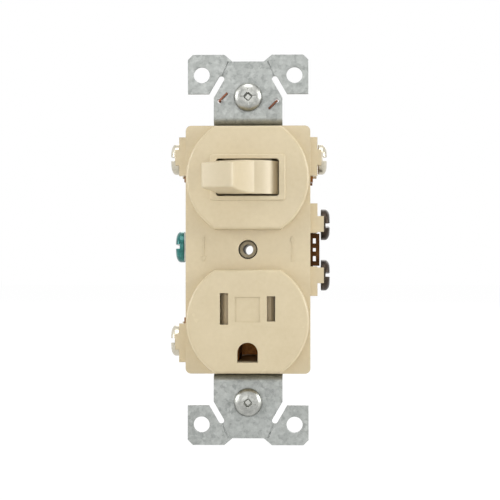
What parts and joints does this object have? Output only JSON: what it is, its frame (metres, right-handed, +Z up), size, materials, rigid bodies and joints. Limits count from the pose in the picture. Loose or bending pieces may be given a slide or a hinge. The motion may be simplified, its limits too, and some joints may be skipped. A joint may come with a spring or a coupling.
{
  "type": "switch and socket combination",
  "caption": "Combination wiring device with a sideways toggle switch above an earthed shuttered socket on a folded steel mounting strap.",
  "frame": {"origin": "on the cover plate screw hole's axis, in the rear face of the plaster ears, which seats on the wall", "axes": "+X to the right seen from the front, +Z up, -Y out of the wall towards the user"},
  "size_m": [0.0442, 0.045, 0.1068],
  "materials": {
    "ivory": "satin moulded thermoplastic",
    "toggle_ivory": "satin moulded thermoplastic",
    "galvanised_steel": "spangled zinc coat",
    "copper": "drawn copper wire",
    "contact_brass": "stamped strip",
    "dark_brass": "stamped strip, tarnished",
    "spring_steel": "drawn wire",
    "shutter_plastic": "moulded",
    "nickel_screw": "nickel plated",
    "dark_screw": "darkened brass",
    "green_screw": "green finish",
    "zinc_screw": "zinc plated",
    "washer_fibre": "pressed fibre"
  },
  "bodies": {
    "housing": {"back_body": "ivory", "centre_eyelet": "galvanised_steel", "feed_strip": "dark_brass", "front_cover": "ivory", "ground_clip": "copper", "ground_contact": "contact_brass", "ground_rivet": "contact_brass", "left_traveller_strip": "contact_brass", "mounting_strap": "galvanised_steel", "neutral_contact": "contact_brass", "retaining_washer": "washer_fibre", "right_traveller_strip": "contact_brass", "shutter_carrier": "shutter_plastic", "shutter_spring": "spring_steel"},
    "toggle": {"toggle": "toggle_ivory", "toggle_spring": "spring_steel"},
    "rocker": {"contact_rocker": "contact_brass"},
    "left_shutter": {"left_shutter": "shutter_plastic"},
    "right_shutter": {"right_shutter": "shutter_plastic"},
    "left_traveller_screw": {"left_traveller_screw": "nickel_screw"},
    "right_traveller_screw": {"right_traveller_screw": "nickel_screw"},
    "neutral_screw": {"neutral_screw": "nickel_screw"},
    "common_screw": {"common_screw": "dark_screw"},
    "feed_screw": {"feed_screw": "dark_screw"},
    "ground_screw": {"ground_screw": "green_screw"},
    "upper_box_screw": {"upper_box_screw": "zinc_screw"},
    "lower_box_screw": {"lower_box_screw": "zinc_screw"}
  },
  "joints": [
    {"name": "toggle_tilt", "type": "hinge", "parent": "housing", "child": "toggle", "pos_m": [0, 0.0006, 0.01945], "axis": [0, 0, 1], "range_deg": [0, 48], "deforming": ["toggle_spring"]},
    {"name": "rocker_tilt", "type": "hinge", "parent": "housing", "child": "rocker", "pos_m": [0, 0.0093, 0.01945], "axis": [0, 0, 1], "range_deg": [-14, 0]},
    {"name": "left_shutter_slide", "type": "slide", "parent": "housing", "child": "left_shutter", "axis": [1, 0, 0], "range_m": [0, 0.002], "stiffness_N_per_m": 100, "springref_m": -0.001, "deforming": ["shutter_spring"]},
    {"name": "right_shutter_slide", "type": "slide", "parent": "housing", "child": "right_shutter", "axis": [-1, 0, 0], "range_m": [0, 0.002], "stiffness_N_per_m": 100, "springref_m": -0.001},
    {"name": "left_traveller_screw_travel", "type": "slide", "parent": "housing", "child": "left_traveller_screw", "axis": [-1, 0, 0], "range_m": [-0.0014, 0.001]},
    {"name": "neutral_screw_travel", "type": "slide", "parent": "housing", "child": "neutral_screw", "axis": [-1, 0, 0], "range_m": [-0.0014, 0.001]},
    {"name": "right_traveller_screw_travel", "type": "slide", "parent": "housing", "child": "right_traveller_screw", "axis": [1, 0, 0], "range_m": [-0.0014, 0.001]},
    {"name": "common_screw_travel", "type": "slide", "parent": "housing", "child": "common_screw", "axis": [1, 0, 0], "range_m": [-0.0022, 0.001]},
    {"name": "feed_screw_travel", "type": "slide", "parent": "housing", "child": "feed_screw", "axis": [1, 0, 0], "range_m": [-0.0022, 0.001]},
    {"name": "ground_screw_travel", "type": "slide", "parent": "housing", "child": "ground_screw", "axis": [-1, 0, 0], "range_m": [0, 0.0011]},
    {"name": "upper_box_screw_turn", "type": "hinge", "parent": "housing", "child": "upper_box_screw", "pos_m": [0, 0, 0.04167], "axis": [0, 1, 0], "continuous": true},
    {"name": "lower_box_screw_turn", "type": "hinge", "parent": "housing", "child": "lower_box_screw", "pos_m": [0, 0, -0.04167], "axis": [0, 1, 0], "continuous": true}
  ],
  "couplings": [
    {"joint": "rocker_tilt", "follows": "toggle_tilt", "ratio": -0.29}
  ]
}
